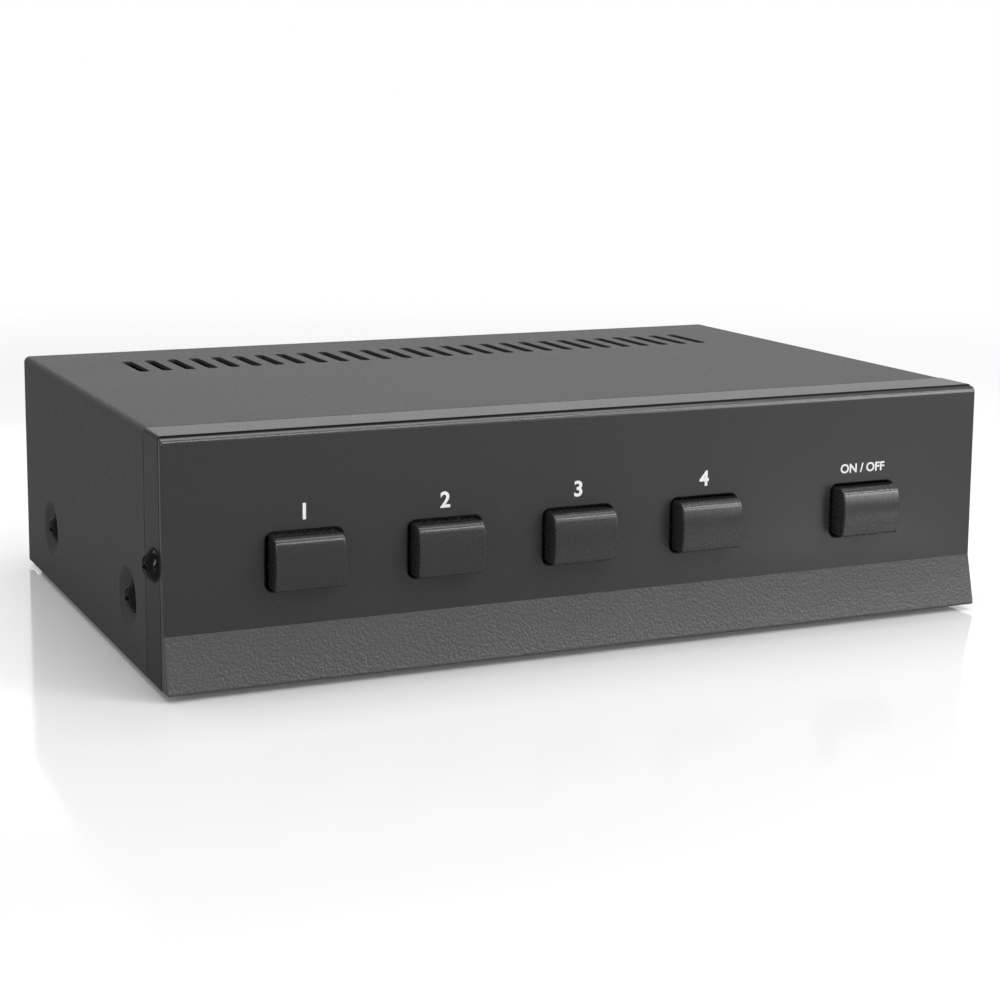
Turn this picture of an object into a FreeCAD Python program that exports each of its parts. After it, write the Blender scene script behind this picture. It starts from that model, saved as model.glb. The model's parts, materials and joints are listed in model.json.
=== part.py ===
import FreeCAD, Part
import math
import os

# Speaker selector switch: a steel box with five push buttons in front and
# five spring-clip terminal blocks behind. Sizes are in millimetres.
# While a piece is built, X = 0 is the middle of the case, Y = 0 the flat front
# face (rear is +Y) and Z = 0 the underside of the case. It is shifted when saved.

Vec = FreeCAD.Vector

# Case
CASE_WIDTH = 210.0
CASE_DEPTH = 138.0
CASE_HEIGHT = 56.0
SHEET = 1.0
BEND_RADIUS = 1.6
FOOT_HEIGHT = 1.5
FOOT_RADIUS = 6.0
FOOT_INSET_X = 18.0
FOOT_INSET_Y = 20.0

# Front panel moulding
PANEL_THICK = 2.0
PANEL_DROP = 0.4
PANEL_TOP_RADIUS = 1.5
PANEL_EDGE_RADIUS = 0.5
BAND_HEIGHT = 12.5
BAND_KICK = 2.8
BAND_LIP_RADIUS = 0.8
BAND_WALL = 1.8
BAND_RIBS = 6

# Front frame moulding behind the panel
FRAME_DEPTH = 11.8
FRAME_WALL = 2.0
FRAME_CORNER = 0.9
LEDGE_CORNER = 0.5
LEDGE_LENGTH = 4.0
LEDGE_WALL = 1.2
COVER_GAP = 0.3
LEDGE_CLEARANCE = 0.15

# Buttons
BUTTON_FIRST_X = -73.0
BUTTON_PITCH = 33.4
PROTECTION_X = 71.9
BUTTON_Z = 26.9
CAP_WIDTH = 16.1
CAP_HEIGHT = 11.8
CAP_REACH = 5.0
CAP_TAIL = 8.0
CAP_WALL = 1.5
CAP_FRONT_WALL = 2.0
CAP_CROWN = 1.1
CAP_CROWN_RADIUS = 18.0
CAP_TOP_RADIUS = 2.2
CAP_CHIN_RADIUS = 0.8
CAP_SIDE_RADIUS = 0.35
WINDOW_GAP_X = 0.85
WINDOW_GAP_Z = 0.6
WINDOW_CORNER = 1.6
WINDOW_FLARE = 0.35
FRAME_WINDOW_GAP = 1.4
CHASSIS_WINDOW_GAP = 2.4

# Latching push switch behind each button
SWITCH_WIDTH = 13.0
SWITCH_HEIGHT = 11.0
SWITCH_FRONT = 14.0
SWITCH_LENGTH = 24.0
SWITCH_WALL = 2.0
SWITCH_BORE_RADIUS = 4.0
SHAFT_SIDE = 5.0
SHAFT_CLEARANCE = 0.15
NOSE_SIDE = 4.0
NOSE_CLEARANCE = 0.05
SOCKET_SIDE = 7.0
COLLAR_RADIUS = 3.7
COLLAR_FRONT = 19.0
COLLAR_THICK = 2.0
GUIDE_RADIUS = 1.2
GUIDE_LENGTH = 9.0
SPRING_RADIUS = 2.6
SPRING_WIRE_RADIUS = 0.35

# Circuit boards
BOARD_THICK = 1.6
BOARD_WIDTH = 184.0
BOARD_FRONT = 12.0
BOARD_REAR = 118.0
STANDOFF_RADIUS = 3.0
STANDOFF_BORE = 1.5
STANDOFF_X = 82.0
STANDOFF_ROWS = (44.0, 96.0)
BOARD_SCREW_HEAD = 2.75
BOARD_SCREW_HEAD_HEIGHT = 1.6
BOARD_SCREW_LENGTH = 8.0
BOARD_SCREW_RADIUS = 1.45
TERMINAL_BOARD_GAP = 11.4
TERMINAL_BOARD_WIDTH = 198.0
TERMINAL_BOARD_HEIGHT = 40.0

# Power resistors under the vents
RESISTOR_LENGTH = 48.0
RESISTOR_SIDE = 10.0
RESISTOR_LIFT = 2.0
RESISTOR_X = 45.0
RESISTOR_LEAD_RADIUS = 0.4

# Ribbon cables between the two boards
RIBBON_WIDTH = 30.0
RIBBON_THICK = 0.9
RIBBON_PITCH = 60.0
RIBBON_BEND = 4.0
RIBBON_RISE = 9.0
RIBBON_INSET = 3.0

# Vent slots in the cover
VENT_COUNT = 28
VENT_PITCH = 6.08
VENT_WIDTH = 2.8
VENT_LENGTH = 20.4
VENT_Y = 108.2

# Side screws and their dimples
SCREW_HEAD_RADIUS = 4.0
SCREW_HEAD_HEIGHT = 2.4
SCREW_RADIUS = 1.95
SCREW_LENGTH = 7.0
SCREW_HOLE_RADIUS = 2.2
COVER_SCREW_Y = (30.0, 109.0)
COVER_SCREW_Z = 14.5
FRAME_SCREW_Y = 7.2
FRAME_SCREW_Z = 27.0
DIMPLE_RADIUS = 7.6
DIMPLE_FLOOR_RADIUS = 4.5
DIMPLE_DEPTH = 1.8
SLOT_IN_HEAD_WIDTH = 0.9
SLOT_IN_HEAD_DEPTH = 1.0
NUT_RADIUS = 3.0
NUT_LENGTH = 3.0
NUT_BORE = 2.0
NUT_ROOM = 0.5

# Chassis
FLANGE_HEIGHT = 24.0
FLANGE_FRONT_HEIGHT = 34.0
FLANGE_FRONT_LENGTH = 14.0
FRONT_WALL_HEIGHT = 50.0
CHASSIS_BEND = 1.5
REAR_WALL_CLEARANCE = 0.15

# Terminal blocks
BLOCK_PITCH = 40.6
BLOCK_Z = 28.0
BLOCK_FLANGE_WIDTH = 39.0
BLOCK_FLANGE_HEIGHT = 37.0
BLOCK_FLANGE = 2.0
BLOCK_CORNER = 2.0
BLOCK_WALL = 1.6
BLOCK_REACH = 9.0
BLOCK_DEPTH = 9.0
BLOCK_SEPTUM = 2.4
POCKET_WIDTH = 12.6
POCKET_HEIGHT = 14.0
CUTOUT_CLEARANCE = 0.3
CHAMBER_WIDTH = 8.6
CHAMBER_LOW = -5.5
CHAMBER_TOP = 6.2
CHAMBER_SKIN = 1.2
WIRE_HOLE_RADIUS = 1.7
WIRE_HOLE_DROP = 3.6
WIRE_COLLAR_RADIUS = 3.0
WIRE_COLLAR_LENGTH = 1.4
FOOT_SLOT_LOW = 1.4
RIVET_RADIUS = 1.2
RIVET_HEAD_RADIUS = 1.8
RIVET_HEAD_HEIGHT = 0.9

# Terminal levers
LEVER_SIDE_GAP = 0.4
LEVER_PIN_RADIUS = 1.2
LEVER_PIN_CLEARANCE = 0.06
LEVER_PIN_LENGTH = 0.9
LEVER_PIN_END_GAP = 0.15
LEVER_ROOT_RADIUS = 1.55
LEVER_PIVOT_OUT = 3.9
LEVER_PIVOT_UP = 4.4
LEVER_REACH = 13.2
LEVER_TIP_RADIUS = 1.3
LEVER_TIP_DROP = 0.7
LEVER_FOOT = 4.5
LEVER_FOOT_THICK = 1.4

# Contact springs behind the levers
CONTACT_WIDTH = 5.0
CONTACT_THICK = 0.5
CONTACT_TAIL = 5.6
CONTACT_LEVEL = -1.0
CONTACT_LIFT = 3.2

HALF_WIDTH = CASE_WIDTH / 2
FLANGE_FACE = HALF_WIDTH - SHEET - DIMPLE_DEPTH
FRAME_FRONT = PANEL_THICK
FRAME_REAR = FRAME_FRONT + FRAME_DEPTH
FRONT_WALL_Y = FRAME_FRONT + FRAME_WALL
COVER_FRONT = FRAME_REAR + COVER_GAP
BOARD_TOP = BUTTON_Z - SWITCH_HEIGHT / 2
SPRING_FRONT = COLLAR_FRONT + COLLAR_THICK
SPRING_REAR = SWITCH_FRONT + SWITCH_LENGTH - SWITCH_WALL
COLUMN_PITCH = POCKET_WIDTH + BLOCK_SEPTUM
ROW_PITCH = POCKET_HEIGHT + BLOCK_SEPTUM
BLOCK_WIDTH = COLUMN_PITCH + POCKET_WIDTH + 2 * BLOCK_WALL
BLOCK_HEIGHT = ROW_PITCH + POCKET_HEIGHT + 2 * BLOCK_WALL
BUTTONS = [(str(i + 1), BUTTON_FIRST_X + i * BUTTON_PITCH) for i in range(4)]
BUTTONS.append(("protection", PROTECTION_X))
BLOCKS = [("input", 2 * BLOCK_PITCH)]
BLOCKS += [(str(i + 1), (1 - i) * BLOCK_PITCH) for i in range(4)]
REST_SHIFT = Vec(0, (CAP_REACH - CASE_DEPTH - LEVER_REACH) / 2, FOOT_HEIGHT)


def box(x0, x1, y0, y1, z0, z1):
    return Part.makeBox(x1 - x0, y1 - y0, z1 - z0, Vec(x0, y0, z0))


def rod_x(x0, x1, y, z, radius):
    return Part.makeCylinder(radius, x1 - x0, Vec(x0, y, z), Vec(1, 0, 0))


def rod_y(x, y0, y1, z, radius):
    return Part.makeCylinder(radius, y1 - y0, Vec(x, y0, z), Vec(0, 1, 0))


def rod_z(x, y, z0, z1, radius):
    return Part.makeCylinder(radius, z1 - z0, Vec(x, y, z0), Vec(0, 0, 1))


def fuse(shapes):
    joined = shapes[0].multiFuse(shapes[1:]) if len(shapes) > 1 else shapes[0]
    return joined.removeSplitter()


def rounded_outline(points, radii):
    """Close the points with straight edges and round each corner by its radius."""
    edges = []
    count = len(points)
    starts = []
    ends = []
    for i, corner in enumerate(points):
        before = (points[i - 1] - corner).normalize()
        after = (points[(i + 1) % count] - corner).normalize()
        if radii[i] == 0:
            starts.append(corner)
            ends.append(corner)
            continue
        half = before.getAngle(after) / 2
        cut = radii[i] / math.tan(half)
        middle = (before + after).normalize() * (radii[i] / math.sin(half) - radii[i])
        starts.append(corner + before * cut)
        ends.append(corner + after * cut)
        edges.append((i, Part.Arc(starts[i], corner + middle, ends[i]).toShape()))
    arcs = dict(edges)
    outline = []
    for i in range(count):
        if i in arcs:
            outline.append(arcs[i])
        outline.append(Part.LineSegment(ends[i], starts[(i + 1) % count]).toShape())
    return Part.Wire(outline)


def prism_along_x(yz_points, radii, x0, x1):
    points = [Vec(x0, y, z) for y, z in yz_points]
    face = Part.Face(rounded_outline(points, radii))
    return face.extrude(Vec(x1 - x0, 0, 0))


def rounded_frame_wire(x, z, width, height, radius, y):
    low_x, high_x = x - width / 2, x + width / 2
    low_z, high_z = z - height / 2, z + height / 2
    points = [Vec(low_x, y, low_z), Vec(high_x, y, low_z), Vec(high_x, y, high_z), Vec(low_x, y, high_z)]
    return rounded_outline(points, [radius] * 4)


def rounded_block(x, z, width, height, radius, y0, y1):
    face = Part.Face(rounded_frame_wire(x, z, width, height, radius, y0))
    return face.extrude(Vec(0, y1 - y0, 0))


def arch(width, height, wall, radius, y0, y1, foot=0.0):
    """Inverted U in the XZ plane: outer width and height, one wall, rounded shoulders."""
    half = width / 2
    outer = [Vec(-half, y0, foot), Vec(-half, y0, height), Vec(half, y0, height), Vec(half, y0, foot)]
    inner_half = half - wall
    inner = [Vec(inner_half, y0, foot), Vec(inner_half, y0, height - wall),
             Vec(-inner_half, y0, height - wall), Vec(-inner_half, y0, foot)]
    inner_radius = max(radius - wall, 0)
    radii = [0, radius, radius, 0, 0, inner_radius, inner_radius, 0]
    return Part.Face(rounded_outline(outer + inner, radii)).extrude(Vec(0, y1 - y0, 0))


def window_cutters(gap_x, gap_z, y0, y1):
    width = CAP_WIDTH + 2 * gap_x
    height = CAP_HEIGHT + 2 * gap_z
    return [rounded_block(x, BUTTON_Z, width, height, WINDOW_CORNER, y0, y1) for _, x in BUTTONS]


def both_sides(shape):
    return [shape, shape.mirror(Vec(0, 0, 0), Vec(1, 0, 0))]


def chassis_base():
    """Folded tray: floor with side flanges, a front wall and a wider rear wall."""
    rear_face = CASE_DEPTH
    tray = arch(2 * FLANGE_FACE, FLANGE_FRONT_HEIGHT, SHEET, CHASSIS_BEND, FRONT_WALL_Y, rear_face - SHEET)
    tray.rotate(Vec(0, 0, FLANGE_FRONT_HEIGHT / 2), Vec(0, 1, 0), 180)
    step = box(-CASE_WIDTH, CASE_WIDTH, FRONT_WALL_Y + FLANGE_FRONT_LENGTH, rear_face - SHEET,
               FLANGE_HEIGHT, CASE_HEIGHT)
    inner = FLANGE_FACE - CHASSIS_BEND
    front_wall = box(-inner, inner, FRONT_WALL_Y, FRONT_WALL_Y + SHEET, SHEET / 2, FRONT_WALL_HEIGHT)
    side = HALF_WIDTH - SHEET - REAR_WALL_CLEARANCE
    top = CASE_HEIGHT - SHEET - REAR_WALL_CLEARANCE
    rear_outline = [(-side, CHASSIS_BEND), (-inner, CHASSIS_BEND), (-inner, 0), (inner, 0),
                    (inner, CHASSIS_BEND), (side, CHASSIS_BEND), (side, top), (-side, top)]
    rear_corners = [Vec(x, rear_face - SHEET, z) for x, z in rear_outline]
    rear_wall = Part.Face(rounded_outline(rear_corners, [0] * 6 + [BEND_RADIUS] * 2))
    rear_wall = rear_wall.extrude(Vec(0, SHEET, 0))
    body = fuse([tray.cut(step), front_wall, rear_wall])
    cutters = window_cutters(CHASSIS_WINDOW_GAP, CHASSIS_WINDOW_GAP,
                             FRONT_WALL_Y - 1, FRONT_WALL_Y + SHEET + 1)
    for _, x in BLOCKS:
        width = BLOCK_WIDTH + 2 * CUTOUT_CLEARANCE
        height = BLOCK_HEIGHT + 2 * CUTOUT_CLEARANCE
        cutters.append(rounded_block(x, BLOCK_Z, width, height, WINDOW_CORNER, rear_face - 2, rear_face + 1))
        for dx in rivet_offsets():
            cutters.append(rod_y(x + dx, rear_face - 2, rear_face + 1, BLOCK_Z, RIVET_RADIUS))
    for y, z in side_screw_places():
        cutters += both_sides(rod_x(-HALF_WIDTH, -FLANGE_FACE + SHEET, y, z, SCREW_HOLE_RADIUS))
    nut_room = NUT_RADIUS + NUT_ROOM
    cutters += both_sides(box(-FLANGE_FACE + SHEET, -FLANGE_FACE + SHEET + NUT_LENGTH + NUT_ROOM,
                              FRONT_WALL_Y - 1, FRONT_WALL_Y + SHEET + 1,
                              FRAME_SCREW_Z - nut_room, FRAME_SCREW_Z + nut_room))
    return body.cut(Part.makeCompound(cutters))


def side_screw_places():
    return [(y, COVER_SCREW_Z) for y in COVER_SCREW_Y] + [(FRAME_SCREW_Y, FRAME_SCREW_Z)]


def cover():
    shell = arch(CASE_WIDTH, CASE_HEIGHT, SHEET, BEND_RADIUS, COVER_FRONT, CASE_DEPTH)
    adds = []
    cuts = []
    flare = SHEET * 0.6
    for y in COVER_SCREW_Y:
        inside = Part.makeCone(DIMPLE_RADIUS + flare, DIMPLE_FLOOR_RADIUS + flare, DIMPLE_DEPTH,
                               Vec(-HALF_WIDTH + SHEET, y, COVER_SCREW_Z), Vec(1, 0, 0))
        outside = Part.makeCone(DIMPLE_RADIUS, DIMPLE_FLOOR_RADIUS, DIMPLE_DEPTH,
                                Vec(-HALF_WIDTH, y, COVER_SCREW_Z), Vec(1, 0, 0))
        hole = rod_x(-HALF_WIDTH - 1, -HALF_WIDTH + 5, y, COVER_SCREW_Z, SCREW_HOLE_RADIUS)
        adds += both_sides(inside)
        cuts += both_sides(outside) + both_sides(hole)
    first = -(VENT_COUNT - 1) * VENT_PITCH / 2
    straight = (VENT_LENGTH - VENT_WIDTH) / 2
    for i in range(VENT_COUNT):
        x = first + i * VENT_PITCH
        slot = box(x - VENT_WIDTH / 2, x + VENT_WIDTH / 2, VENT_Y - straight, VENT_Y + straight,
                   CASE_HEIGHT - SHEET - 1, CASE_HEIGHT + 1)
        ends = [rod_z(x, VENT_Y + side * straight, CASE_HEIGHT - SHEET - 1, CASE_HEIGHT + 1, VENT_WIDTH / 2)
                for side in (-1, 1)]
        cuts.append(slot.multiFuse(ends).removeSplitter())
    return fuse([shell] + adds).cut(Part.makeCompound(cuts))


def front_frame():
    skirt = arch(CASE_WIDTH, CASE_HEIGHT, FRAME_WALL, FRAME_CORNER, FRAME_FRONT, FRAME_REAR)
    ledge_inset = SHEET + LEDGE_CLEARANCE
    ledge = arch(CASE_WIDTH - 2 * ledge_inset, CASE_HEIGHT - ledge_inset, LEDGE_WALL,
                 LEDGE_CORNER, FRAME_FRONT + FRAME_WALL, FRAME_REAR + LEDGE_LENGTH)
    wall_outline = [Vec(-HALF_WIDTH, FRAME_FRONT, 0), Vec(HALF_WIDTH, FRAME_FRONT, 0),
                    Vec(HALF_WIDTH, FRAME_FRONT, CASE_HEIGHT), Vec(-HALF_WIDTH, FRAME_FRONT, CASE_HEIGHT)]
    wall = Part.Face(rounded_outline(wall_outline, [0, 0, FRAME_CORNER, FRAME_CORNER]))
    wall = wall.extrude(Vec(0, FRAME_WALL, 0))
    pads = both_sides(rod_x(-HALF_WIDTH + FRAME_WALL / 2, -FLANGE_FACE, FRAME_SCREW_Y, FRAME_SCREW_Z,
                            SCREW_HEAD_RADIUS))
    body = fuse([skirt, ledge, wall] + pads)
    cuts = window_cutters(FRAME_WINDOW_GAP, FRAME_WINDOW_GAP, FRAME_FRONT - 1, FRONT_WALL_Y + 1)
    cuts.append(rod_x(-HALF_WIDTH - 1, HALF_WIDTH + 1, FRAME_SCREW_Y, FRAME_SCREW_Z, SCREW_HOLE_RADIUS))
    return body.cut(Part.makeCompound(cuts))


def front_panel():
    top = CASE_HEIGHT - PANEL_DROP
    kick = -BAND_KICK
    outline = [(PANEL_THICK, 0), (PANEL_THICK, top), (0, top),
               (0, BAND_HEIGHT), (kick, BAND_LIP_RADIUS), (kick, 0)]
    radii = [0, 0.3, PANEL_TOP_RADIUS, 0, 0, BAND_LIP_RADIUS * 0.6]
    body = prism_along_x(outline, radii, -HALF_WIDTH, HALF_WIDTH)
    front_edges = []
    for edge in body.Edges:
        middle = edge.CenterOfMass
        if abs(abs(middle.x) - HALF_WIDTH) < 0.01 and middle.y < PANEL_THICK - 0.4 and middle.z > 0.4:
            front_edges.append(edge)
    body = body.makeFillet(PANEL_EDGE_RADIUS, front_edges)
    hollow_top = BAND_HEIGHT - BAND_WALL
    slope = BAND_KICK / (BAND_HEIGHT - BAND_LIP_RADIUS)
    hollow_front = BAND_WALL - slope * (BAND_HEIGHT - BAND_WALL)
    hollow = [(PANEL_THICK + 1, BAND_WALL), (hollow_front, BAND_WALL), (PANEL_THICK, hollow_top + BAND_WALL),
              (PANEL_THICK + 1, hollow_top + BAND_WALL)]
    bay = (CASE_WIDTH - BAND_WALL) / (BAND_RIBS + 1)
    cuts = []
    for i in range(BAND_RIBS + 1):
        start = -HALF_WIDTH + BAND_WALL + i * bay
        cuts.append(prism_along_x(hollow, [0] * 4, start, start + bay - BAND_WALL))
    cuts += window_cutters(WINDOW_GAP_X, WINDOW_GAP_Z, -1, PANEL_THICK + 1)
    for _, x in BUTTONS:
        width = CAP_WIDTH + 2 * WINDOW_GAP_X
        height = CAP_HEIGHT + 2 * WINDOW_GAP_Z
        wide = rounded_frame_wire(x, BUTTON_Z, width + 2 * WINDOW_FLARE, height + 2 * WINDOW_FLARE,
                                  WINDOW_CORNER + WINDOW_FLARE, 0)
        narrow = rounded_frame_wire(x, BUTTON_Z, width, height, WINDOW_CORNER, WINDOW_FLARE)
        cuts.append(Part.makeLoft([wide, narrow], True, True))
    return body.cut(Part.makeCompound(cuts))


def cap_brow():
    """Y of the cap's front edges, set so that the crown between them reaches CAP_REACH."""
    lean = math.atan(CAP_CROWN / (CAP_HEIGHT / 2))
    return CAP_CROWN - CAP_REACH - CAP_CROWN_RADIUS * (1 / math.cos(lean) - 1)


def button_cap(x):
    """Hollow push cap with a crowned face that bulges between its top and bottom edges."""
    low = BUTTON_Z - CAP_HEIGHT / 2
    high = BUTTON_Z + CAP_HEIGHT / 2
    outline = [(CAP_TAIL, low), (cap_brow(), low), (cap_brow() - CAP_CROWN, BUTTON_Z), (cap_brow(), high),
               (CAP_TAIL, high)]
    radii = [0, CAP_CHIN_RADIUS, CAP_CROWN_RADIUS, CAP_TOP_RADIUS, 0]
    body = prism_along_x(outline, radii, x - CAP_WIDTH / 2, x + CAP_WIDTH / 2)
    rims = []
    for edge in body.Edges:
        middle = edge.CenterOfMass
        if abs(abs(middle.x - x) - CAP_WIDTH / 2) < 0.01 and middle.y < CAP_TAIL - 0.1:
            rims.append(edge)
    body = body.makeFillet(CAP_SIDE_RADIUS, rims)
    half_x = CAP_WIDTH / 2 - CAP_WALL
    half_z = CAP_HEIGHT / 2 - CAP_WALL
    inner_front = cap_brow() + CAP_FRONT_WALL
    hollow = box(x - half_x, x + half_x, inner_front, CAP_TAIL + 1, BUTTON_Z - half_z, BUTTON_Z + half_z)
    half = SOCKET_SIDE / 2
    socket = box(x - half, x + half, inner_front, CAP_TAIL, BUTTON_Z - half, BUTTON_Z + half)
    web = box(x - half_x, x + half_x, inner_front, CAP_TAIL - CAP_WALL, BUTTON_Z - CAP_WALL / 2,
              BUTTON_Z + CAP_WALL / 2)
    half = NOSE_SIDE / 2 + NOSE_CLEARANCE
    nose_room = box(x - half, x + half, inner_front + NOSE_CLEARANCE, CAP_TAIL + 1,
                    BUTTON_Z - half, BUTTON_Z + half)
    hollow = hollow.cut(fuse([socket, web]))
    return body.cut(hollow).cut(nose_room)


def plunger(x):
    inner_front = cap_brow() + CAP_FRONT_WALL
    half = NOSE_SIDE / 2
    nose = box(x - half, x + half, inner_front + 2 * NOSE_CLEARANCE, CAP_TAIL,
               BUTTON_Z - half, BUTTON_Z + half)
    half = SHAFT_SIDE / 2
    shaft = box(x - half, x + half, CAP_TAIL, COLLAR_FRONT, BUTTON_Z - half, BUTTON_Z + half)
    collar = rod_y(x, COLLAR_FRONT, SPRING_FRONT, BUTTON_Z, COLLAR_RADIUS)
    guide = rod_y(x, SPRING_FRONT, SPRING_FRONT + GUIDE_LENGTH, BUTTON_Z, GUIDE_RADIUS)
    return fuse([nose, shaft, collar, guide])


def switch_body(x):
    rear = SWITCH_FRONT + SWITCH_LENGTH
    body = rounded_block(x, BUTTON_Z, SWITCH_WIDTH, SWITCH_HEIGHT, 0.6, SWITCH_FRONT, rear)
    bore = rod_y(x, SWITCH_FRONT + SWITCH_WALL, SPRING_REAR, BUTTON_Z, SWITCH_BORE_RADIUS)
    half = SHAFT_SIDE / 2 + SHAFT_CLEARANCE
    mouth = box(x - half, x + half, SWITCH_FRONT - 1, SWITCH_FRONT + SWITCH_WALL + 1,
                BUTTON_Z - half, BUTTON_Z + half)
    rail = box(x - SWITCH_WIDTH / 2 - 1, x + SWITCH_WIDTH / 2 + 1, SWITCH_FRONT + 8, rear - 8,
               BUTTON_Z + SWITCH_HEIGHT / 2 - 0.8, BUTTON_Z + SWITCH_HEIGHT)
    return body.cut(Part.makeCompound([fuse([bore, mouth])])).cut(rail)


def return_spring(x):
    """Plain sleeve in the place of the hidden compression coil."""
    outer = rod_y(x, SPRING_FRONT, SPRING_REAR, BUTTON_Z, SPRING_RADIUS + SPRING_WIRE_RADIUS)
    inside = rod_y(x, SPRING_FRONT - 1, SPRING_REAR + 1, BUTTON_Z, SPRING_RADIUS - SPRING_WIRE_RADIUS)
    return outer.cut(inside)


def main_board():
    board = box(-BOARD_WIDTH / 2, BOARD_WIDTH / 2, BOARD_FRONT, BOARD_REAR,
                BOARD_TOP - BOARD_THICK, BOARD_TOP)
    holes = [rod_z(x, y, 0, BOARD_TOP + 1, BOARD_SCREW_RADIUS + 0.1) for x, y in standoff_places()]
    return board.cut(Part.makeCompound(holes))


def standoff_places():
    return [(x, y) for x in (-STANDOFF_X, 0, STANDOFF_X) for y in STANDOFF_ROWS]


def board_standoffs():
    posts = []
    for x, y in standoff_places():
        post = rod_z(x, y, SHEET, BOARD_TOP - BOARD_THICK, STANDOFF_RADIUS)
        posts.append(post.cut(rod_z(x, y, SHEET + 2, BOARD_TOP, STANDOFF_BORE)))
    return Part.makeCompound(posts)


def board_screws():
    screws = []
    for x, y in standoff_places():
        head = rod_z(x, y, BOARD_TOP, BOARD_TOP + BOARD_SCREW_HEAD_HEIGHT, BOARD_SCREW_HEAD)
        shank = rod_z(x, y, BOARD_TOP - BOARD_SCREW_LENGTH, BOARD_TOP, BOARD_SCREW_RADIUS)
        screws.append(fuse([head, shank]))
    return Part.makeCompound(screws)


def power_resistors():
    blocks = []
    base = BOARD_TOP + RESISTOR_LIFT
    for x in (-RESISTOR_X, RESISTOR_X):
        half = RESISTOR_LENGTH / 2
        block = box(x - half, x + half, VENT_Y - RESISTOR_SIDE / 2, VENT_Y + RESISTOR_SIDE / 2,
                    base, base + RESISTOR_SIDE)
        top_edges = [edge for edge in block.Edges
                     if abs(edge.Length - RESISTOR_LENGTH) < 0.01 and edge.CenterOfMass.z > base + 1]
        block = block.makeFillet(1.2, top_edges)
        leads = [rod_z(x + side * (half - 4), VENT_Y, BOARD_TOP, base + 1, RESISTOR_LEAD_RADIUS)
                 for side in (-1, 1)]
        blocks.append(fuse([block] + leads))
    return Part.makeCompound(blocks)


def terminal_board_y():
    return CASE_DEPTH - TERMINAL_BOARD_GAP - BOARD_THICK


def ribbon_cables():
    """Flat cables that rise from the main board and turn into the terminal board."""
    rear = terminal_board_y()
    y = BOARD_REAR - RIBBON_INSET
    level = BOARD_TOP + RIBBON_RISE
    outline = [(y, BOARD_TOP), (y, level), (rear, level), (rear, level - RIBBON_THICK),
               (y + RIBBON_THICK, level - RIBBON_THICK), (y + RIBBON_THICK, BOARD_TOP)]
    radii = [0, RIBBON_BEND, 0, 0, RIBBON_BEND - RIBBON_THICK, 0]
    half = RIBBON_WIDTH / 2
    strips = [prism_along_x(outline, radii, x - half, x + half) for x in (-RIBBON_PITCH, 0, RIBBON_PITCH)]
    return Part.makeCompound(strips)


def terminal_board():
    y = terminal_board_y()
    board = box(-TERMINAL_BOARD_WIDTH / 2, TERMINAL_BOARD_WIDTH / 2, y, y + BOARD_THICK,
                BLOCK_Z - TERMINAL_BOARD_HEIGHT / 2, BLOCK_Z + TERMINAL_BOARD_HEIGHT / 2)
    slots = []
    for x, z in terminal_places():
        half = CONTACT_WIDTH / 2 + 0.1
        slots.append(box(x - half, x + half, y - 1, y + BOARD_THICK + 1, z + CONTACT_LEVEL - 0.1,
                         z + CONTACT_LEVEL + CONTACT_THICK + 0.1))
    return board.cut(Part.makeCompound(slots))


def quadrants():
    return [(side * COLUMN_PITCH / 2, row * ROW_PITCH / 2) for side in (-1, 1) for row in (1, -1)]


def terminal_places():
    return [(x + dx, BLOCK_Z + dz) for _, x in BLOCKS for dx, dz in quadrants()]


def rivet_offsets():
    offset = (BLOCK_WIDTH + BLOCK_FLANGE_WIDTH) / 4
    return (-offset, offset)


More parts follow.
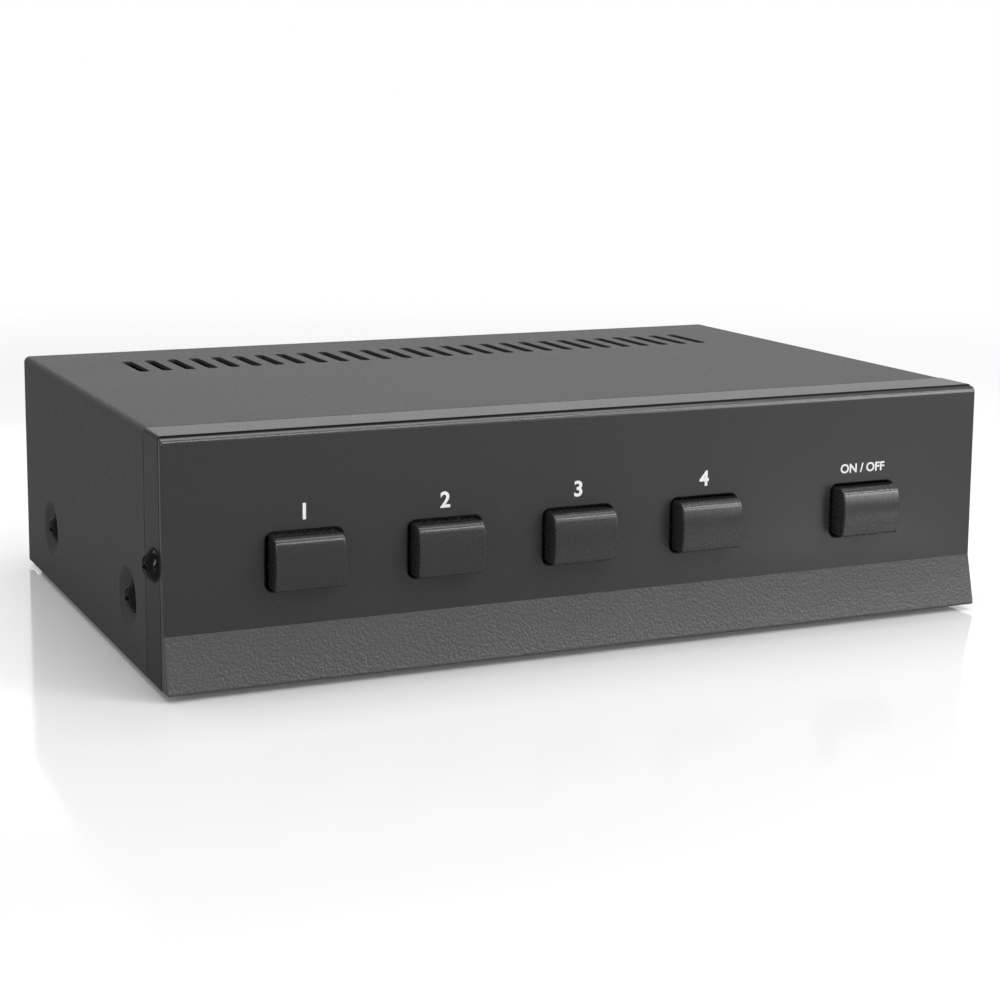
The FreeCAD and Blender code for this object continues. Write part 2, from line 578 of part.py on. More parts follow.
def terminal_block(x):
    """Moulded block: flange outside, four lever pockets, and a contact chamber behind each."""
    face = CASE_DEPTH
    flange = rounded_block(x, BLOCK_Z, BLOCK_FLANGE_WIDTH, BLOCK_FLANGE_HEIGHT, BLOCK_CORNER,
                           face, face + BLOCK_FLANGE)
    trunk = rounded_block(x, BLOCK_Z, BLOCK_WIDTH, BLOCK_HEIGHT, 1.2, face - BLOCK_DEPTH, face + BLOCK_REACH)
    pockets = []
    inner_cuts = []
    collars = []
    funnel_mouth = face + BLOCK_FLANGE + WIRE_COLLAR_LENGTH
    for dx, dz in quadrants():
        cx, cz = x + dx, BLOCK_Z + dz
        pockets.append(box(cx - POCKET_WIDTH / 2, cx + POCKET_WIDTH / 2, face + BLOCK_FLANGE,
                           face + BLOCK_REACH + 1, cz - POCKET_HEIGHT / 2, cz + POCKET_HEIGHT / 2))
        inner_cuts.append(box(cx - CHAMBER_WIDTH / 2, cx + CHAMBER_WIDTH / 2, face - BLOCK_DEPTH + BLOCK_WALL,
                              face + BLOCK_FLANGE - CHAMBER_SKIN, cz + CHAMBER_LOW, cz + CHAMBER_TOP))
        half = CONTACT_WIDTH / 2 + 0.05
        inner_cuts.append(box(cx - half, cx + half,
                              face - BLOCK_DEPTH - 1, face - BLOCK_DEPTH + BLOCK_WALL + 1,
                              cz + CONTACT_LEVEL - 0.05, cz + CONTACT_LEVEL + CONTACT_THICK + 0.05))
        inner_cuts.append(box(cx - CHAMBER_WIDTH / 2, cx + CHAMBER_WIDTH / 2, face, face + BLOCK_FLANGE + 1,
                              cz + FOOT_SLOT_LOW, cz + CHAMBER_TOP))
        reach = POCKET_WIDTH / 2 + LEVER_PIN_LENGTH + LEVER_PIN_END_GAP
        inner_cuts.append(rod_x(cx - reach, cx + reach, face + LEVER_PIVOT_OUT, cz + LEVER_PIVOT_UP,
                                LEVER_PIN_RADIUS + LEVER_PIN_CLEARANCE))
        hole_z = cz - WIRE_HOLE_DROP
        collars.append(rod_y(cx, face + BLOCK_FLANGE - 0.5, funnel_mouth, hole_z, WIRE_COLLAR_RADIUS))
        inner_cuts.append(rod_y(cx, face - 1, funnel_mouth + 1, hole_z, WIRE_HOLE_RADIUS))
    for dx in rivet_offsets():
        inner_cuts.append(rod_y(x + dx, face - 1, face + BLOCK_FLANGE + 1, BLOCK_Z, RIVET_RADIUS))
    body = fuse([flange, trunk]).cut(Part.makeCompound(pockets))
    return fuse([body] + collars).cut(Part.makeCompound(inner_cuts))


def terminal_lever(x, z):
    """Clip lever: pivot barrel, thumb tab that reaches out, and a short foot behind the pivot."""
    pivot_y = CASE_DEPTH + LEVER_PIVOT_OUT
    pivot_z = z + LEVER_PIVOT_UP
    half = POCKET_WIDTH / 2 - LEVER_SIDE_GAP
    tip_y = CASE_DEPTH + LEVER_REACH - LEVER_TIP_RADIUS
    tip_z = pivot_z - LEVER_TIP_DROP
    outline = [(pivot_y, pivot_z + LEVER_ROOT_RADIUS), (pivot_y, pivot_z - LEVER_ROOT_RADIUS),
               (tip_y + LEVER_TIP_RADIUS, tip_z - LEVER_TIP_RADIUS),
               (tip_y + LEVER_TIP_RADIUS, tip_z + LEVER_TIP_RADIUS),
               (tip_y - 2, pivot_z + LEVER_ROOT_RADIUS)]
    radii = [0, 0, LEVER_TIP_RADIUS * 0.9, LEVER_TIP_RADIUS * 0.8, 3]
    tab = prism_along_x(outline, radii, x - half, x + half)
    barrel = rod_x(x - half, x + half, pivot_y, pivot_z, LEVER_ROOT_RADIUS)
    pin_half = POCKET_WIDTH / 2 + LEVER_PIN_LENGTH
    pin = rod_x(x - pin_half, x + pin_half, pivot_y, pivot_z, LEVER_PIN_RADIUS)
    foot_half = CHAMBER_WIDTH / 2 - LEVER_SIDE_GAP
    foot = box(x - foot_half, x + foot_half, pivot_y - LEVER_FOOT, pivot_y,
               pivot_z - LEVER_FOOT_THICK, pivot_z)
    return fuse([tab, barrel, pin, foot])


def contact_springs():
    """Bent contact strips: a tail through the terminal board and a leaf rising under the lever foot."""
    rear = CASE_DEPTH - BLOCK_DEPTH
    strips = []
    for x, z in terminal_places():
        low = z + CONTACT_LEVEL
        bend = CASE_DEPTH - 5
        tip = CASE_DEPTH - 0.8
        outline = [(rear - CONTACT_TAIL, low), (bend, low), (tip, low + CONTACT_LIFT),
                   (tip, low + CONTACT_LIFT + CONTACT_THICK), (bend, low + CONTACT_THICK),
                   (rear - CONTACT_TAIL, low + CONTACT_THICK)]
        strips.append(prism_along_x(outline, [0] * 6, x - CONTACT_WIDTH / 2, x + CONTACT_WIDTH / 2))
    return Part.makeCompound(strips)


def terminal_rivets():
    rivets = []
    outer = CASE_DEPTH + BLOCK_FLANGE
    for _, x in BLOCKS:
        for dx in rivet_offsets():
            head = Part.makeCone(RIVET_HEAD_RADIUS, RIVET_HEAD_RADIUS * 0.6, RIVET_HEAD_HEIGHT,
                                 Vec(x + dx, outer, BLOCK_Z), Vec(0, 1, 0))
            shank = rod_y(x + dx, CASE_DEPTH - SHEET, outer, BLOCK_Z, RIVET_RADIUS - 0.05)
            tail = rod_y(x + dx, CASE_DEPTH - SHEET - RIVET_HEAD_HEIGHT, CASE_DEPTH - SHEET, BLOCK_Z,
                         RIVET_HEAD_RADIUS)
            rivets.append(fuse([head, shank, tail]))
    return Part.makeCompound(rivets)


def side_screws():
    """Pan-head screws: two in each cover dimple row and one through each side of the front frame."""
    screws = []
    sphere_radius = (SCREW_HEAD_RADIUS ** 2 + SCREW_HEAD_HEIGHT ** 2) / (2 * SCREW_HEAD_HEIGHT)
    for y, z in side_screw_places():
        seat = -HALF_WIDTH if y == FRAME_SCREW_Y else -FLANGE_FACE - SHEET
        drum = rod_x(seat - SCREW_HEAD_HEIGHT, seat, y, z, SCREW_HEAD_RADIUS)
        dome = Part.makeSphere(sphere_radius, Vec(seat - SCREW_HEAD_HEIGHT + sphere_radius, y, z))
        head = drum.common(dome)
        half = SLOT_IN_HEAD_WIDTH / 2
        long = SCREW_HEAD_RADIUS * 0.55
        floor = seat - SCREW_HEAD_HEIGHT + SLOT_IN_HEAD_DEPTH
        recess = fuse([box(seat - 5, floor, y - long, y + long, z - half, z + half),
                       box(seat - 5, floor, y - half, y + half, z - long, z + long)])
        shank = rod_x(seat, seat + SCREW_LENGTH, y, z, SCREW_RADIUS)
        screws += both_sides(fuse([head.cut(recess), shank]))
    return Part.makeCompound(screws)


def clinch_nuts():
    nuts = []
    inner = FLANGE_FACE - SHEET
    for y, z in side_screw_places():
        nut = rod_x(-inner, -inner + NUT_LENGTH, y, z, NUT_RADIUS)
        nuts += both_sides(nut.cut(rod_x(-inner - 1, -inner + NUT_LENGTH + 1, y, z, NUT_BORE)))
    return Part.makeCompound(nuts)


def feet():
    pads = []
    for x in (-HALF_WIDTH + FOOT_INSET_X, HALF_WIDTH - FOOT_INSET_X):
        for y in (FOOT_INSET_Y, CASE_DEPTH - FOOT_INSET_Y):
            pads.append(Part.makeCone(FOOT_RADIUS - 0.5, FOOT_RADIUS, FOOT_HEIGHT, Vec(x, y, -FOOT_HEIGHT)))
    return Part.makeCompound(pads)


def save(name, shape):
    placed = shape.copy()
    placed.translate(REST_SHIFT)
    placed.exportStep(os.path.join("parts", name + ".step"))
    print(name, len(placed.Solids), round(placed.Volume, 1), placed.isValid())


def main():
    os.makedirs("parts", exist_ok=True)
    for piece in (chassis_base, cover, front_frame, front_panel, main_board, board_standoffs, board_screws,
                  power_resistors, ribbon_cables, terminal_board, contact_springs, terminal_rivets,
                  side_screws, clinch_nuts, feet):
        save(piece.__name__, piece())
    for name, x in BUTTONS:
        save("button_cap_" + name, button_cap(x))
        save("plunger_" + name, plunger(x))
        save("switch_body_" + name, switch_body(x))
        save("return_spring_" + name, return_spring(x))
    for name, x in BLOCKS:
        save("terminal_block_" + name, terminal_block(x))
        for dx, dz in quadrants():
            side = "left" if dx > 0 else "right"
            colour = "red" if dz > 0 else "black"
            save("lever_" + name + "_" + side + "_" + colour, terminal_lever(x + dx, BLOCK_Z + dz))


main()
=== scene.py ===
import bpy
import json
import math
from mathutils import Euler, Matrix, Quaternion, Vector

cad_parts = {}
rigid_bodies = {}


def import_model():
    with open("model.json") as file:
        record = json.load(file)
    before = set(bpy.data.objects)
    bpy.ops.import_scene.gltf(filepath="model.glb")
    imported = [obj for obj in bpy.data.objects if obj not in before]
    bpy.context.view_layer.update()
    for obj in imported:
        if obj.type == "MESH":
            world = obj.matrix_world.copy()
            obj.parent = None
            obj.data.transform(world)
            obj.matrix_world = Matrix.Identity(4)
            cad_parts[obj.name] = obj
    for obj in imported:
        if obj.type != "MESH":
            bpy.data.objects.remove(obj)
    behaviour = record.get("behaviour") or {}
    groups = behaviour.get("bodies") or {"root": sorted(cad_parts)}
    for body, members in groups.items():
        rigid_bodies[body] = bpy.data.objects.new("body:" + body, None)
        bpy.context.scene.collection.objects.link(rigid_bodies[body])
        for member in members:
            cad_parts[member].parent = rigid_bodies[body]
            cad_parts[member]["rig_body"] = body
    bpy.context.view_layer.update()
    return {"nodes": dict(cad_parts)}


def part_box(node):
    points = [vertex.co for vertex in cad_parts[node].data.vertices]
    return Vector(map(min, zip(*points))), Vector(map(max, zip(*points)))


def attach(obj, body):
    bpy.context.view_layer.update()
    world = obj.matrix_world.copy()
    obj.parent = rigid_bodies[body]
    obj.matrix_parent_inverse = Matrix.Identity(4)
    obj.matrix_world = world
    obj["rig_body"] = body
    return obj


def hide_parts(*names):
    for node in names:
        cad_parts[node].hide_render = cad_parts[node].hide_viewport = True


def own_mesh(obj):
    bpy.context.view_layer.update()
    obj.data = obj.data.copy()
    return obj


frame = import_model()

nodes = frame["nodes"]
scene = bpy.context.scene
print("frame loaded:", len(nodes), "parts")


# small helpers

def deselectAll():
    for item in bpy.context.selected_objects:
        item.select_set(False)


def makeActive(item):
    deselectAll()
    item.select_set(True)
    bpy.context.view_layer.objects.active = item


def applyModifiers(item):
    makeActive(item)
    for name in [m.name for m in item.modifiers]:
        bpy.ops.object.modifier_apply(modifier=name)


def applyPlace(item):
    makeActive(item)
    bpy.ops.object.transform_apply(location=True, rotation=True, scale=True)


def nodeMiddle(name):
    low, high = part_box(name)
    return (low + high) / 2


# shared shader groups

def newGroup(name, inputs, outputs):
    group = bpy.data.node_groups.new(name, "ShaderNodeTree")
    for label, kind, value in inputs:
        socket = group.interface.new_socket(name=label, in_out="INPUT", socket_type=kind)
        if value is not None:
            socket.default_value = value
    for label, kind in outputs:
        group.interface.new_socket(name=label, in_out="OUTPUT", socket_type=kind)
    return group, group.nodes.new("NodeGroupInput"), group.nodes.new("NodeGroupOutput")


def mathNode(tree, operation, first, second):
    node = tree.nodes.new("ShaderNodeMath")
    node.operation = operation
    for slot, value in enumerate((first, second)):
        if isinstance(value, (int, float)):
            node.inputs[slot].default_value = value
        else:
            tree.links.new(value, node.inputs[slot])
    return node.outputs[0]


grainLook = {"detail": 2.0}


def grainGroup():
    # fine pebbled surface: broad orange peel under a tight grit
    tree, start, end = newGroup("surfaceGrain", [
        ("Vector", "NodeSocketVector", None),
        ("Grit Scale", "NodeSocketFloat", 1500.0),
        ("Peel Scale", "NodeSocketFloat", 400.0),
        ("Peel Share", "NodeSocketFloat", 0.4)],
        [("Height", "NodeSocketFloat"), ("Speckle", "NodeSocketFloat")])
    grit = tree.nodes.new("ShaderNodeTexNoise")
    grit.inputs["Detail"].default_value = grainLook["detail"]
    peel = tree.nodes.new("ShaderNodeTexVoronoi")
    peel.feature = "SMOOTH_F1"
    for tex, label in ((grit, "Grit Scale"), (peel, "Peel Scale")):
        tree.links.new(start.outputs["Vector"], tex.inputs["Vector"])
        tree.links.new(start.outputs[label], tex.inputs["Scale"])
    share = mathNode(tree, "MULTIPLY", peel.outputs["Distance"], start.outputs["Peel Share"])
    total = mathNode(tree, "SUBTRACT", grit.outputs["Fac"], share)
    tree.links.new(total, end.inputs["Height"])
    tree.links.new(grit.outputs["Fac"], end.inputs["Speckle"])
    return tree


driftLook = {"detail": 4.0, "roughness": 0.6, "middle": 0.5}


def driftGroup():
    # slow change over the surface: handling marks, uneven moulding, thin dust
    tree, start, end = newGroup("slowDrift", [
        ("Vector", "NodeSocketVector", None),
        ("Patch Scale", "NodeSocketFloat", 18.0),
        ("Contrast", "NodeSocketFloat", 1.0)],
        [("Mask", "NodeSocketFloat")])
    patch = tree.nodes.new("ShaderNodeTexNoise")
    patch.inputs["Detail"].default_value = driftLook["detail"]
    patch.inputs["Roughness"].default_value = driftLook["roughness"]
    tree.links.new(start.outputs["Vector"], patch.inputs["Vector"])
    tree.links.new(start.outputs["Patch Scale"], patch.inputs["Scale"])
    centred = mathNode(tree, "SUBTRACT", patch.outputs["Fac"], driftLook["middle"])
    spread = mathNode(tree, "MULTIPLY", centred, start.outputs["Contrast"])
    tree.links.new(mathNode(tree, "ADD", spread, driftLook["middle"]), end.inputs["Mask"])
    return tree


grain = grainGroup()
drift = driftGroup()


def placeGroup(mat, tree, vector, values):
    node = mat.node_tree.nodes.new("ShaderNodeGroup")
    node.node_tree = tree
    mat.node_tree.links.new(vector, node.inputs["Vector"])
    for label, value in values.items():
        node.inputs[label].default_value = value
    return node


def rangeNode(mat, source, low, high):
    node = mat.node_tree.nodes.new("ShaderNodeMapRange")
    mat.node_tree.links.new(source, node.inputs["Value"])
    node.inputs["To Min"].default_value = low
    node.inputs["To Max"].default_value = high
    return node.outputs["Result"]


def mixTones(mat, mask, dark, pale):
    node = mat.node_tree.nodes.new("ShaderNodeMix")
    node.data_type = "RGBA"
    mat.node_tree.links.new(mask, node.inputs["Factor"])
    node.inputs["A"].default_value = (*dark, 1)
    node.inputs["B"].default_value = (*pale, 1)
    return node.outputs["Result"]


def mixValues(mat, mask, low, high):
    node = mat.node_tree.nodes.new("ShaderNodeMix")
    for socket, value in ((node.inputs["A"], low), (node.inputs["B"], high)):
        if isinstance(value, (int, float)):
            socket.default_value = value
        else:
            mat.node_tree.links.new(value, socket)
    mat.node_tree.links.new(mask, node.inputs["Factor"])
    return node.outputs["Result"]


def surface(name, look):
    # one finish: two close tones that drift, a speckled roughness and a grain bump
    mat = bpy.data.materials.new(name)
    mat.use_nodes = True
    tree = mat.node_tree
    shader = tree.nodes["Principled BSDF"]
    place = tree.nodes.new("ShaderNodeTexCoord").outputs["Object"]
    slow = placeGroup(mat, drift, place, {"Patch Scale": look["patch"], "Contrast": look["contrast"]})
    fine = placeGroup(mat, grain, place, {"Grit Scale": look["grit"], "Peel Scale": look["peel"],
                                          "Peel Share": look["peelShare"]})
    tone = mixTones(mat, slow.outputs["Mask"], look["dark"], look["pale"])
    tree.links.new(tone, shader.inputs["Base Color"])
    rough = mathNode(tree, "ADD", rangeNode(mat, slow.outputs["Mask"], look["rough"][0], look["rough"][1]),
                     rangeNode(mat, fine.outputs["Speckle"], -look["speckle"], look["speckle"]))
    tree.links.new(rough, shader.inputs["Roughness"])
    shader.inputs["Metallic"].default_value = look.get("metal", 0.0)
    shader.inputs["Specular IOR Level"].default_value = look.get("specular", 0.5)
    bump = tree.nodes.new("ShaderNodeBump")
    bump.inputs["Strength"].default_value = look["bump"]
    bump.inputs["Distance"].default_value = look["depth"]
    tree.links.new(fine.outputs["Height"], bump.inputs["Height"])
    tree.links.new(bump.outputs["Normal"], shader.inputs["Normal"])
    return mat, shader, slow, fine, place


plainLook = {"patch": 20.0, "contrast": 0.8, "grit": 2200.0, "peel": 500.0, "peelShare": 0.3,
             "rough": (0.38, 0.5), "speckle": 0.04, "bump": 0.15, "depth": 0.0001}


def variant(**changes):
    look = dict(plainLook)
    look.update(changes)
    return look


# finishes of this object

finishes = {
    "coverPaint": variant(dark=(0.034, 0.034, 0.035), pale=(0.043, 0.043, 0.044), rough=(0.46, 0.54),
                          grit=1500.0, peel=1100.0, peelShare=0.6, bump=0.45, depth=0.00022, speckle=0.10),
    "chassisPaint": variant(dark=(0.030, 0.030, 0.031), pale=(0.038, 0.038, 0.039), rough=(0.36, 0.46)),
    "framePlastic": variant(dark=(0.011, 0.011, 0.012), pale=(0.015, 0.015, 0.016), rough=(0.26, 0.31),
                            bump=0.05, specular=0.17),
    "capPlastic": variant(dark=(0.020, 0.020, 0.021), pale=(0.025, 0.025, 0.026), rough=(0.24, 0.30),
                          bump=0.05, specular=0.75),
    "screwBlack": variant(dark=(0.002, 0.002, 0.002), pale=(0.004, 0.004, 0.004), rough=(0.11, 0.16),
                          bump=0.04, specular=0.22),
    "blockPlastic": variant(dark=(0.020, 0.020, 0.021), pale=(0.030, 0.030, 0.031), rough=(0.40, 0.52)),
    "leverRed": variant(dark=(0.42, 0.018, 0.014), pale=(0.50, 0.026, 0.020), rough=(0.26, 0.36), bump=0.05),
    "leverBlack": variant(dark=(0.018, 0.018, 0.018), pale=(0.028, 0.028, 0.028), rough=(0.24, 0.34),
                          bump=0.05),
    "footRubber": variant(dark=(0.018, 0.018, 0.018), pale=(0.030, 0.030, 0.030), rough=(0.7, 0.85)),
    "boardGreen": variant(dark=(0.020, 0.110, 0.045), pale=(0.028, 0.140, 0.058), rough=(0.28, 0.36)),
    "zincPlate": variant(dark=(0.50, 0.50, 0.49), pale=(0.62, 0.62, 0.60), rough=(0.26, 0.40), metal=1.0),
    "springSteel": variant(dark=(0.52, 0.52, 0.53), pale=(0.60, 0.60, 0.61), rough=(0.22, 0.32), metal=1.0),
    "springBrass": variant(dark=(0.62, 0.47, 0.22), pale=(0.72, 0.56, 0.28), rough=(0.25, 0.38), metal=1.0),
    "cement": variant(dark=(0.60, 0.58, 0.53), pale=(0.74, 0.72, 0.67), rough=(0.75, 0.9), bump=0.5,
                      grit=900.0),
    "ribbonGrey": variant(dark=(0.30, 0.30, 0.31), pale=(0.38, 0.38, 0.39), rough=(0.45, 0.55)),
    "switchNylon": variant(dark=(0.55, 0.55, 0.51), pale=(0.64, 0.64, 0.60), rough=(0.4, 0.5)),
    "plungerWhite": variant(dark=(0.66, 0.66, 0.63), pale=(0.76, 0.76, 0.73), rough=(0.3, 0.4)),
    "printWhite": variant(dark=(0.78, 0.78, 0.77), pale=(0.86, 0.86, 0.85), rough=(0.45, 0.55)),
}
mats = {name: surface(name, look)[0] for name, look in finishes.items()}

panelLook = {
    "creaseZ": 0.0140,            # height where the flat face meets the grained band
    "face": variant(dark=(0.022, 0.022, 0.023), pale=(0.026, 0.026, 0.027), rough=(0.25, 0.30),
                    grit=1800.0, peelShare=0.2, bump=0.07, specular=0.8),
    # the band's two tones carry its grain speckle, set lighter than the face's as painted light for the
    # upward-tilted band catching more light from above
    "bandDarkPaintedLight": (0.051, 0.051, 0.052),
    "bandPalePaintedLight": (0.082, 0.082, 0.083),
    "bandBump": 0.7,
    "bandDepth": 0.00022,
    "bandRough": 0.50,
    "bandGrain": {"Grit Scale": 1900.0, "Peel Scale": 1500.0, "Peel Share": 0.8},
}


def panelSurface():
    look = panelLook["face"]
    mat, shader, slow, fine, place = surface("panelPlastic", look)
    tree = mat.node_tree
    height = tree.nodes.new("ShaderNodeSeparateXYZ")
    tree.links.new(place, height.inputs["Vector"])
    below = mathNode(tree, "LESS_THAN", height.outputs["Z"], panelLook["creaseZ"])
    coarse = placeGroup(mat, grain, place, panelLook["bandGrain"])
    faceTone = mixTones(mat, slow.outputs["Mask"], look["dark"], look["pale"])
    # band colour: grain speckle between tones lightened by painted light, standing in for the light the
    # tilted band catches
    bandToneWithPaintedLight = mixTones(mat, coarse.outputs["Speckle"], panelLook["bandDarkPaintedLight"], panelLook["bandPalePaintedLight"])
    both = tree.nodes.new("ShaderNodeMix")
    both.data_type = "RGBA"
    tree.links.new(below, both.inputs["Factor"])
    tree.links.new(faceTone, both.inputs["A"])
    tree.links.new(bandToneWithPaintedLight, both.inputs["B"])
    tree.links.new(both.outputs["Result"], shader.inputs["Base Color"])
    faceRough = rangeNode(mat, slow.outputs["Mask"], look["rough"][0], look["rough"][1])
    tree.links.new(mixValues(mat, below, faceRough, panelLook["bandRough"]), shader.inputs["Roughness"])
    relief = tree.nodes.new("ShaderNodeBump")
    relief.inputs["Distance"].default_value = panelLook["bandDepth"]
    relief.inputs["Strength"].default_value = panelLook["bandBump"]
    raised = mathNode(tree, "MULTIPLY", coarse.outputs["Height"], below)
    tree.links.new(raised, relief.inputs["Height"])
    fineBump = next(n for n in tree.nodes if n.type == "BUMP" and n != relief)
    tree.links.new(relief.outputs["Normal"], fineBump.inputs["Normal"])
    return mat


mats["panelPlastic"] = panelSurface()
print("finishes ready:", len(mats))


# finish of each part, by the start of its name

finishOf = {
    "cover": "coverPaint", "chassis_base": "chassisPaint", "front_frame": "framePlastic",
    "front_panel": "panelPlastic", "main_board": "boardGreen", "terminal_board": "boardGreen",
    "board_standoffs": "zincPlate", "board_screws": "zincPlate", "power_resistors": "cement",
    "ribbon_cables": "ribbonGrey", "contact_springs": "springBrass", "terminal_rivets": "zincPlate",
    "side_screws": "screwBlack", "clinch_nuts": "zincPlate", "feet": "footRubber",
    "switch_body": "switchNylon", "button_cap": "capPlastic", "plunger": "plungerWhite",
    "return_spring": "springSteel", "terminal_block": "blockPlastic",
}


def finishFor(name):
    if name.startswith("lever_"):
        return mats["leverRed" if name.endswith("red") else "leverBlack"]
    return mats[next(kind for part, kind in finishOf.items() if name.startswith(part))]


for name, part in nodes.items():
    part.data.materials.clear()
    part.data.materials.append(finishFor(name))


# soft-edged skins over the parts that show

edgeWidth = {
    "cover": 0.00018, "front_frame": 0.00020, "front_panel": 0.00012, "side_screws": 0.00010,
    "chassis_base": 0.00018, "button_cap": 0.00010, "terminal_block": 0.00022, "lever": 0.00025,
}
skinLook = {
    "mergeWithin": 0.000002,
    "flatWithin": 0.5,            # degrees between faces that are one flat face
    "bevelOver": 35,              # degrees from which an edge is softened
    "bevelSteps": 2,
    "smoothUnder": 32,            # degrees up to which shading runs over an edge
}


def skinOf(name, width):
    source = nodes[name]
    skin = source.copy()
    skin.data = source.data.copy()
    skin.name = name + "_skin"
    skin.parent = None
    scene.collection.objects.link(skin)
    makeActive(skin)
    bpy.ops.object.mode_set(mode="EDIT")
    bpy.ops.mesh.select_all(action="SELECT")
    bpy.ops.mesh.remove_doubles(threshold=skinLook["mergeWithin"])
    bpy.ops.mesh.dissolve_limited(angle_limit=math.radians(skinLook["flatWithin"]))
    bpy.ops.object.mode_set(mode="OBJECT")
    bevel = skin.modifiers.new("softEdge", "BEVEL")
    bevel.width = width
    bevel.segments = skinLook["bevelSteps"]
    bevel.limit_method = "ANGLE"
    bevel.angle_limit = math.radians(skinLook["bevelOver"])
    bevel.use_clamp_overlap = True
    applyModifiers(skin)
    bpy.ops.object.shade_smooth_by_angle(angle=math.radians(skinLook["smoothUnder"]))
    even = skin.modifiers.new("evenNormals", "WEIGHTED_NORMAL")
    even.keep_sharp = True
    applyModifiers(skin)
    for key in [k for k in skin.keys() if k.startswith("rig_")]:
        del skin[key]
    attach(skin, source["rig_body"])
    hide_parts(name)


for name in sorted(nodes):
    kind = next((k for k in edgeWidth if name.startswith(k)), None)
    if kind:
        skinOf(name, edgeWidth[kind])
print("soft-edged skins made")


# return springs: a wound coil in place of each plain sleeve, as long as that sleeve

springLook = {
    "wire": 0.00055,
    "wireSides": 10,
    "turns": 7,
    "stepsPerTurn": 24,
    "mergeWithin": 0.000002,
    "smoothUnder": 50,
}


def coilSpring(name):
    low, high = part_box(name)
    middle = nodeMiddle(name)
    length = high.y - low.y
    wire = springLook["wire"]
    ring = (high.x - low.x - wire) / 2
    deselectAll()
    bpy.ops.mesh.primitive_circle_add(vertices=springLook["wireSides"], radius=wire / 2,
                                      location=(ring, 0, wire / 2), rotation=(math.radians(90), 0, 0))
    coil = bpy.context.object
    coil.name = name + "_coil"
    applyPlace(coil)
    wind = coil.modifiers.new("wind", "SCREW")
    wind.screw_offset = (length - wire) / springLook["turns"]
    wind.iterations = springLook["turns"]
    wind.steps = springLook["stepsPerTurn"]
    wind.render_steps = springLook["stepsPerTurn"]
    applyModifiers(coil)
    makeActive(coil)
    bpy.ops.object.mode_set(mode="EDIT")
    bpy.ops.mesh.select_all(action="SELECT")
    bpy.ops.mesh.remove_doubles(threshold=springLook["mergeWithin"])
    bpy.ops.mesh.fill_holes(sides=0)
    bpy.ops.mesh.select_all(action="SELECT")
    bpy.ops.mesh.normals_make_consistent(inside=False)
    bpy.ops.object.mode_set(mode="OBJECT")
    bpy.ops.object.shade_smooth_by_angle(angle=math.radians(springLook["smoothUnder"]))
    coil.rotation_euler = (math.radians(-90), 0, 0)
    coil.location = (middle.x, low.y, middle.z)
    applyPlace(coil)
    coil.data.materials.clear()
    coil.data.materials.append(mats["springSteel"])
    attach(coil, "case")
    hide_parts(name)
    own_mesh(coil)


for label in ("1", "2", "3", "4", "protection"):
    coilSpring(f"return_spring_{label}")
print("return springs wound")


# printed figures on the front panel

printLook = {
    "panelDepth": 0.0020,        # from the panel's rear to its face
    "capitalShare": 0.72,        # how tall the font's capitals are in its size
    "thickness": 0.00004,
    "digitHeight": 0.0036,
    "digitRise": 0.0106,         # from the button's middle to the digit's middle
    "wordHeight": 0.0022,
    "wordRise": 0.0102,
    "boldness": 0.036,
    "rearHeight": 0.0024,
    "rearRise": 0.0024,          # from a terminal block's top to the words' middle
}


def printText(name, words, size, x, y, z, turn):
    deselectAll()
    bpy.ops.object.text_add(location=(0, 0, 0))
    text = bpy.context.object
    text.name = name
    text.data.body = words
    text.data.align_x = "CENTER"
    text.data.align_y = "CENTER"
    text.data.size = size / printLook["capitalShare"]
    text.data.extrude = printLook["thickness"] / 2
    text.data.offset = printLook["boldness"] * size
    bpy.ops.object.convert(target="MESH")
    text = bpy.context.object
    text.rotation_euler = (math.radians(90), 0, math.radians(turn))
    text.location = (x, y, z)
    applyPlace(text)
    text.data.materials.clear()
    text.data.materials.append(mats["printWhite"])
    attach(text, "case")


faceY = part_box("front_panel")[1].y - printLook["panelDepth"]
for i in range(4):
    middle = nodeMiddle(f"button_cap_{i + 1}")
    printText(f"zoneDigit{i + 1}", str(i + 1), printLook["digitHeight"],
              middle.x, faceY, middle.z + printLook["digitRise"], 0)
middle = nodeMiddle("button_cap_protection")
printText("switchWords", "ON / OFF", printLook["wordHeight"],
          middle.x, faceY, middle.z + printLook["wordRise"], 0)
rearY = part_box("chassis_base")[1].y
for block, words in {"input": "IN", "1": "1", "2": "2", "3": "3", "4": "4"}.items():
    blockLow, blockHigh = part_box(f"terminal_block_{block}")
    printText(f"rearWords_{block}", words, printLook["rearHeight"],
              (blockLow.x + blockHigh.x) / 2, rearY, blockHigh.z + printLook["rearRise"], 180)
print("figures printed, front and rear")


# floor, lights and camera

stageLook = {
    "floorSize": 8.0,
    "floorTone": 0.80,
    "floorTwin": 0.30,            # the floor's tone as the dark glossy parts mirror it
    "floorRough": 0.10,
    "floorIor": 1.42,
    "gloss": 0.5,
    "glossNear": 0.15,            # how far from the middle the floor keeps its gloss
    "glossFar": 0.32,
    "lift": 0.08,                 # camera-only glow, so the floor reads as white paper
    "fadeStart": 0.27,
    "fadeEnd": 0.72,
    "worldDiffuse": 0.34,
    "worldGlossy": 0.31,
}


def link(tree, output, socket):
    tree.links.new(output, socket)


def rampDown(tree, distance, start, end):
    node = tree.nodes.new("ShaderNodeMapRange")
    node.interpolation_type = "SMOOTHSTEP"
    node.inputs["From Min"].default_value = start
    node.inputs["From Max"].default_value = end
    node.inputs["To Min"].default_value = 1.0
    node.inputs["To Max"].default_value = 0.0
    link(tree, distance, node.inputs["Value"])
    return node.outputs["Result"]


def mixLevel(tree, mask, low, high):
    node = tree.nodes.new("ShaderNodeMix")
    link(tree, mask, node.inputs["Factor"])
    for socket, value in ((node.inputs["A"], low), (node.inputs["B"], high)):
        if isinstance(value, float):
            socket.default_value = value
        else:
            link(tree, value, socket)
    return node.outputs["Result"]


